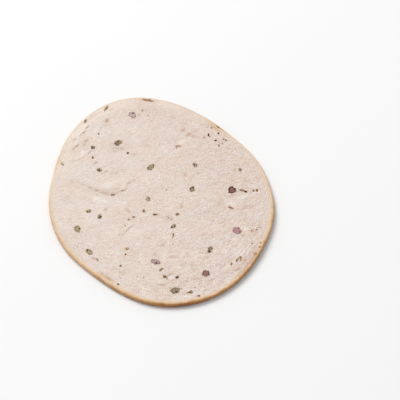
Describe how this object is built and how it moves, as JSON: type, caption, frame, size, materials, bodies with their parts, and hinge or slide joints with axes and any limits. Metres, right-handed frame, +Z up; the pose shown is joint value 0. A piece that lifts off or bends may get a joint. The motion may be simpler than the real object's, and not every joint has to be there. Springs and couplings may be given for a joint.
{
  "type": "slice of seasoned turkey breast",
  "caption": "Thin oval slice of cooked turkey breast with a browned rim, furrows in its cut face, and cut peppercorns and flakes of herb set in the meat.",
  "frame": {"origin": "middle of the flat underside", "axes": "+Z up out of the cut face, +Y along the slice's length, +X across it"},
  "size_m": [0.1103, 0.1423, 0.0031],
  "materials": {
    "meat": "moist cooked poultry, satin, pale pinkish beige, browned at the rim",
    "green_peppercorn": "cut green peppercorn and herb, satin, olive with a darker skin",
    "pink_peppercorn": "cut pink peppercorn, satin, from pale lilac to dark red-purple"
  },
  "bodies": {
    "root": {"turkey_slice": "meat"}
  },
  "joints": []
}
